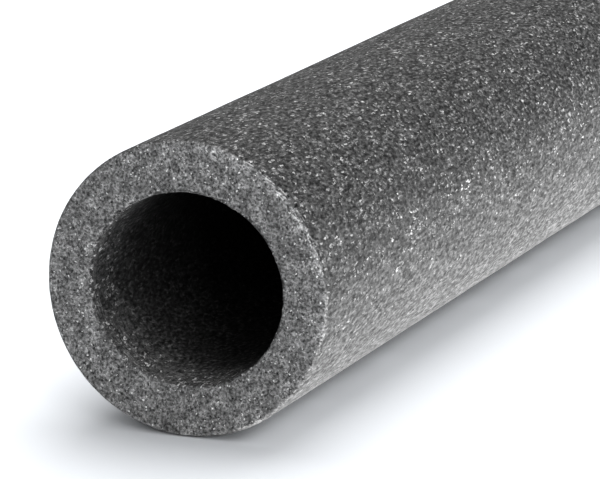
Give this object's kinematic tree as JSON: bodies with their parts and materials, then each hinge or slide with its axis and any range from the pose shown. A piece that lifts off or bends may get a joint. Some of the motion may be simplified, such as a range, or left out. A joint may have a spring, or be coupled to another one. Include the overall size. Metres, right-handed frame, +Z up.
{
  "type": "pipe insulation lagging",
  "caption": "Straight round tube of dark grey closed-cell foam with a plain bore through it and both ends cut square; it slides over a pipe to insulate it.",
  "frame": {"origin": "the middle of the tube, on its bore's axis", "axes": "+X along the bore's axis, away from the end that the picture shows; +Z up as the tube lies on a floor"},
  "size_m": [1, 0.053, 0.053],
  "materials": {
    "foam": "matt closed-cell polyethylene foam, smooth on the skin and open-celled on the cut ends"
  },
  "bodies": {
    "root": {"foam_tube": "foam"}
  },
  "joints": []
}
